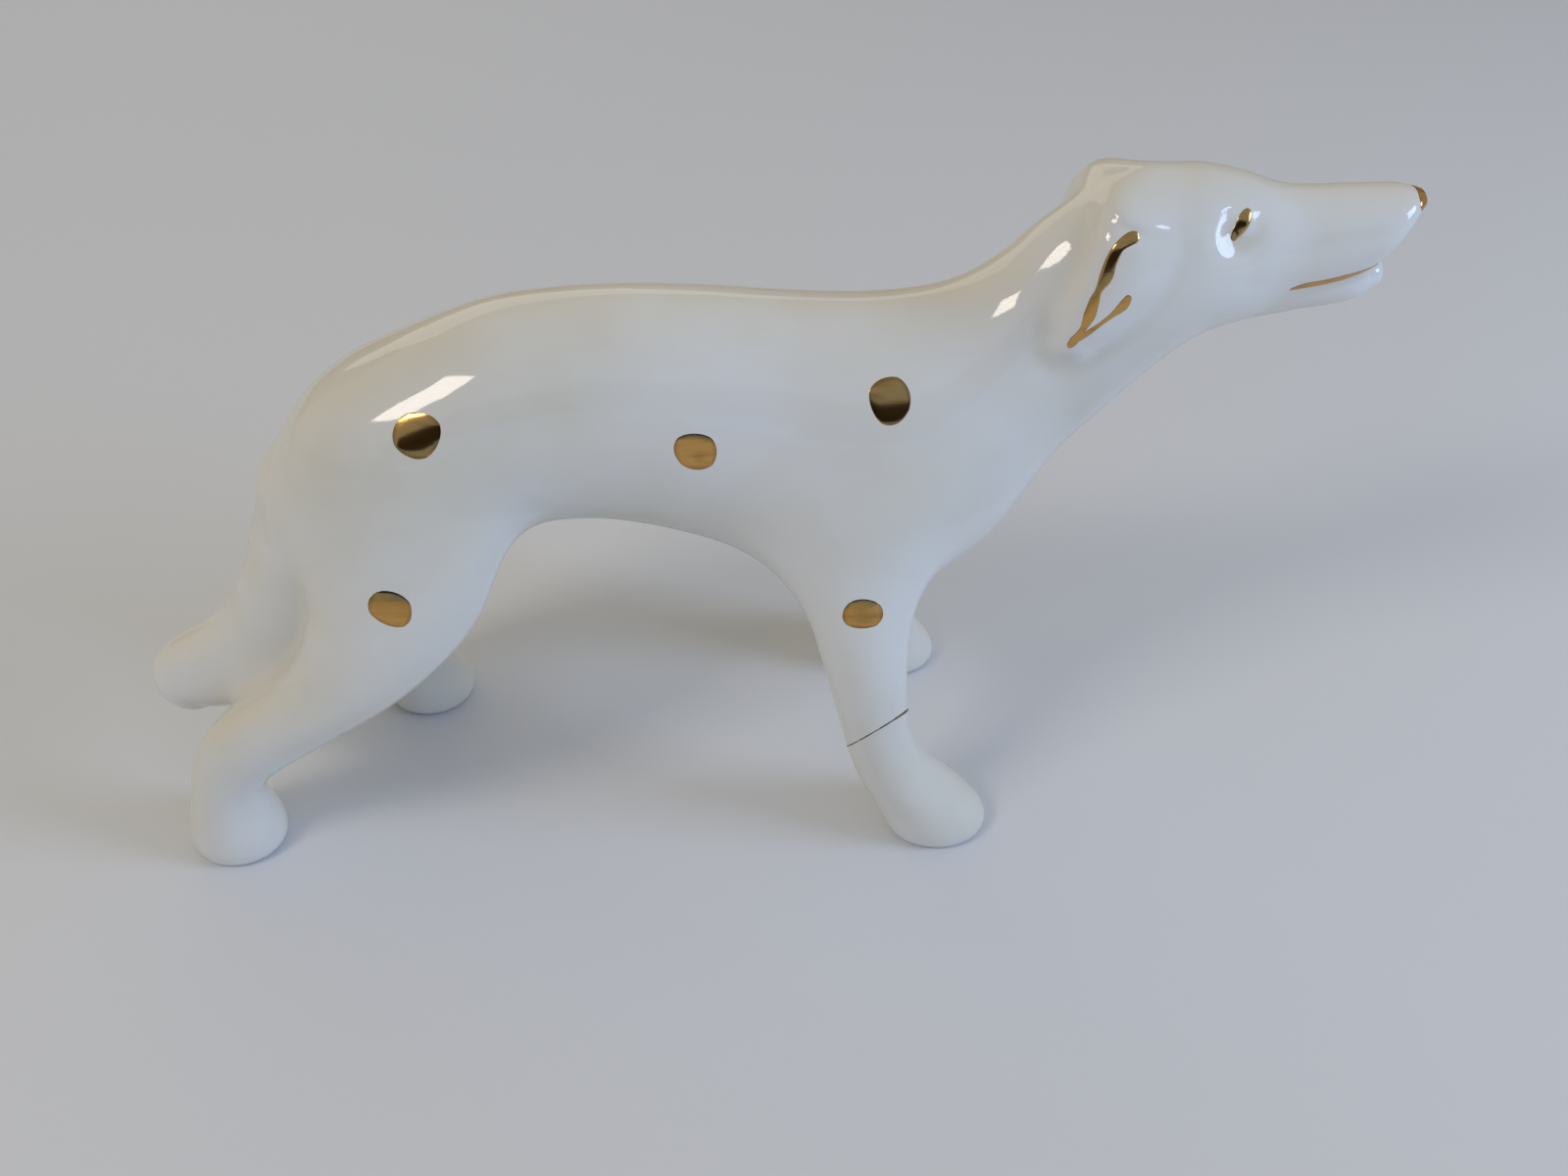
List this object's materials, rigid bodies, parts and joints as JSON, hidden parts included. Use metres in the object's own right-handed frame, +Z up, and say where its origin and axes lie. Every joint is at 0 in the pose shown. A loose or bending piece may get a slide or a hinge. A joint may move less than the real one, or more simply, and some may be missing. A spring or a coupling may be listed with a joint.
{
  "type": "standing greyhound figurine",
  "caption": "Free-standing white glazed earthenware greyhound with splayed legs, laid-back ears, a kicked-back tail and fired-on gold spots and strokes.",
  "frame": {"origin": "centre of the footprint box, on the surface that the four soles stand on", "axes": "+X towards the nose, +Y towards the dog's left, +Z up"},
  "size_m": [0.1654, 0.048, 0.0914],
  "materials": {
    "white_glaze": "glossy lead glaze over white earthenware",
    "gold_lustre": "thin fired-on gold, brushed by hand and partly worn",
    "old_glue": "discoloured adhesive in an old break"
  },
  "bodies": {
    "root": {"trunk_right_half": "white_glaze", "trunk_left_half": "white_glaze", "head": "white_glaze", "right_ear": "white_glaze", "left_ear": "white_glaze", "right_foreleg": "white_glaze", "right_forepaw": "white_glaze", "left_foreleg": "white_glaze", "right_hind_leg": "white_glaze", "left_hind_leg": "white_glaze", "tail": "white_glaze", "repair_adhesive": "old_glue", "right_shoulder_spot": "gold_lustre", "left_shoulder_spot": "gold_lustre", "right_flank_spot": "gold_lustre", "left_flank_spot": "gold_lustre", "right_haunch_spot": "gold_lustre", "left_haunch_spot": "gold_lustre", "right_thigh_spot": "gold_lustre", "left_thigh_spot": "gold_lustre", "right_forearm_spot": "gold_lustre", "left_forearm_spot": "gold_lustre", "right_eye_gilding": "gold_lustre", "left_eye_gilding": "gold_lustre", "right_mouth_gilding": "gold_lustre", "left_mouth_gilding": "gold_lustre", "right_ear_gilding": "gold_lustre", "left_ear_gilding": "gold_lustre", "nose_gilding": "gold_lustre"}
  },
  "joints": []
}
